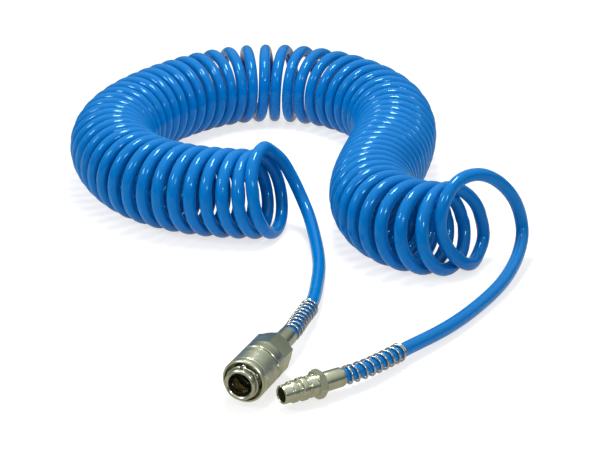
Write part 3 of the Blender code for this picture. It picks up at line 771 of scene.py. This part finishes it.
def inner_spring(name, moving, fixed, mean, wire, node, body):
    """A compression spring between two stations."""
    sides = 10
    turns, x, share = spring_line(
        moving, fixed - moving, coils=4.0, steps=28, wire=wire, start_closed=1.0, closed_pitch=1.08
    )
    points = around_x(x, mean, TAU * turns)
    piece = tube_mesh(name, points, points * (0, 1, 1), wire / 2, sides, WIRE)
    COUPLER.place(piece)
    ends = COUPLER.on_axis(fixed), COUPLER.on_axis(moving)
    blend(piece, ("coupler", body), "spring_wire", node, *ends)


def ferrule(fitting, first, last):
    bore, wide = 4.3, 5.4
    outline = [
        (first, bore), (first, wide), (last - 1.6, wide), (last - 1.2, wide - 0.35),
        (last - 0.5, wide - 0.35), (last, wide - 0.8), (last, bore),
    ]
    body = fitting.body
    piece = revolve("ferrule_" + body, rounded(outline, 0.2), 96, NICKEL)
    fitting.add(piece, "nickel_parts", body + "_ferrule")


nose_barrel()
rear_body()
grip_sleeve()
stop_wire()
seal_ring("seal_plug", 13.9, major=6.1, minor=0.9, node="plug_seal", body="coupler")
seal_ring("seal_valve", 23.1, major=5.45, minor=0.55, node="valve_seal", body="valve")
poppet()
for i in range(BALL_COUNT):
    locking_ball(i)
inner_spring(
    "spring_of_sleeve", moving=13.3, fixed=21.3, mean=9.85, wire=0.9,
    node="sleeve_spring", body="sleeve",
)
inner_spring(
    "spring_of_valve", moving=26.7, fixed=37.0, mean=5.5, wire=0.8,
    node="valve_spring", body="valve",
)
ferrule(COUPLER, COUPLER_LENGTH - 1.4, COUPLER_FERRULE_END)


# -------------------------------------------------------------------- the plug
def plug_body():
    """A stepped nose, a hexagon, and a barbed stem inside the hose."""
    tip = 5.15
    outline = [
        (0.0, tip - 0.45), (0.45, tip), (5.0, tip), (5.6, 5.9), (8.3, 5.9), (9.2, 4.7),
        (10.4, 4.7), (11.4, 6.35), (14.2, 6.35), (15.2, 5.2), (16.2, 5.2), (16.6, 6.0),
        (20.6, 6.0), (20.6, 7.4), (21.2, 8.1), (24.4, 8.1), (25.0, 7.4), (25.0, 2.5),
        (27.0, 2.8), (29.6, 2.5), (31.0, 2.8), (33.6, 2.5), (35.0, 2.8), (38.0, 2.3),
        (38.0, 1.7), (19.0, 1.7), (16.0, 3.95), (0.4, 3.95), (0.0, 4.3),
    ]

    def shape(x, r, angle):
        hexed = np.minimum(r, hexagon(angle, PLUG_HEX_FLAT))
        return np.where((x > 20.59) & (x < 25.01) & (r > 6.05), hexed, r)

    piece = revolve("plug_body", rounded(outline, 0.2), 96, NICKEL, shape)
    PLUG.add(piece, "nickel_parts", "plug_nipple")


plug_body()
ferrule(PLUG, 25.3, PLUG_FERRULE_END)

# CAD nodes that are shown as they are: both lie inside the coupler
for node, material in (("body_seal", RUBBER), ("coupler_hose_stem", NICKEL)):
    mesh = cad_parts[node].data
    mesh.materials.clear()
    mesh.materials.append(material)


# ------------------------------------------- floor, light and camera, in metres
def grey(level):
    return (level, level, level)


def paper_material():
    """Pale paper that looks darker but glows a little when the camera sees it directly."""
    mat = Nodes(bpy.data.materials.new("paper_floor"))
    from_camera = mat.add("ShaderNodeLightPath").outputs["Is Camera Ray"]
    pale = mat.ramp(mat.noise(scale=5), (0.3, grey(0.90)), (0.7, grey(0.93)))
    return mat.finish(
        Base_Color=mat.mix(from_camera, pale, (*grey(0.42), 1)),
        Emission_Color=(1, 1, 1, 1),
        Emission_Strength=mat.range(from_camera, low=0.0, high=0.70),
        Roughness=0.9,
        Specular_IOR_Level=0.1,
    )


def studio_floor():
    half, z = 6, -0.0003
    mesh = bpy.data.meshes.new("studio_floor")
    corners = [(-half, -half, z), (half, -half, z), (half, half, z), (-half, half, z)]
    mesh.from_pydata(corners, [], [(0, 1, 2, 3)])
    floor = add_object("studio_floor", mesh)
    mesh.materials.append(paper_material())
    floor.visible_glossy = False  # its part in reflections is in the world below


def softbox(name, place, target, size, watts):
    lamp = bpy.data.lights.new(name, "AREA")
    lamp.shape = "RECTANGLE"
    lamp.size, lamp.size_y = size
    lamp.energy = watts
    made = add_object(name, lamp)
    made.location = place
    made.rotation_euler = (Vector(target) - Vector(place)).to_track_quat("-Z", "Y").to_euler()


def studio_world():
    """White to the camera, a room to shiny surfaces, and a soft grey sky to the rest."""
    world = bpy.data.worlds.new("studio")
    bpy.context.scene.world = world
    sky = Nodes(world, "Background")
    where = sky.add("ShaderNodeTexCoord").outputs["Generated"]
    height = sky.add("ShaderNodeSeparateXYZ", Vector=where).outputs["Z"]
    soft = sky.ramp(height, (0.02, grey(0.13)), (0.75, grey(0.58)))
    # pale paper below, a dark horizon, and a light ceiling
    room = sky.ramp(
        sky.math("MULTIPLY_ADD", height, 0.5, 0.5),
        (0.00, (0.42, 0.39, 0.33)), (0.45, (0.50, 0.47, 0.39)), (0.50, (0.08, 0.10, 0.14)),
        (0.58, (0.07, 0.09, 0.14)), (0.68, (0.26, 0.285, 0.24)), (0.80, (0.46, 0.48, 0.43)),
        (1.00, (0.85, 0.85, 0.82)),
    )
    path = sky.add("ShaderNodeLightPath").outputs
    shiny = sky.mix(path["Is Glossy Ray"], soft, room)
    sky.finish(Color=sky.mix(path["Is Camera Ray"], shiny, (1, 1, 1, 1)), Strength=1.0)


def studio_camera():
    lens = bpy.data.cameras.new("camera")
    lens.lens, lens.sensor_width = 111.4, 36.0
    lens.clip_start, lens.clip_end = 0.01, 50
    camera = add_object("camera", lens)
    camera.location = (-ORIGIN[0] * MM, -ORIGIN[1] * MM, 0.4502)
    camera.rotation_euler = (math.radians(68), 0, 0)
    bpy.context.scene.camera = camera
    bpy.context.scene.view_settings.view_transform = "Standard"


studio_floor()
softbox("key", place=(0, 0.03, 0.64), target=(0, 0.03, 0), size=(0.14, 0.22), watts=2.6)
softbox("left", place=(-0.9, -0.5, 0.9), target=(0, -0.05, 0), size=(0.22, 0.30), watts=4.0)
softbox("front", place=(0.55, -1.2, 0.75), target=(0, -0.15, 0), size=(0.22, 0.16), watts=2.4)
studio_world()
studio_camera()

bpy.context.view_layer.update()
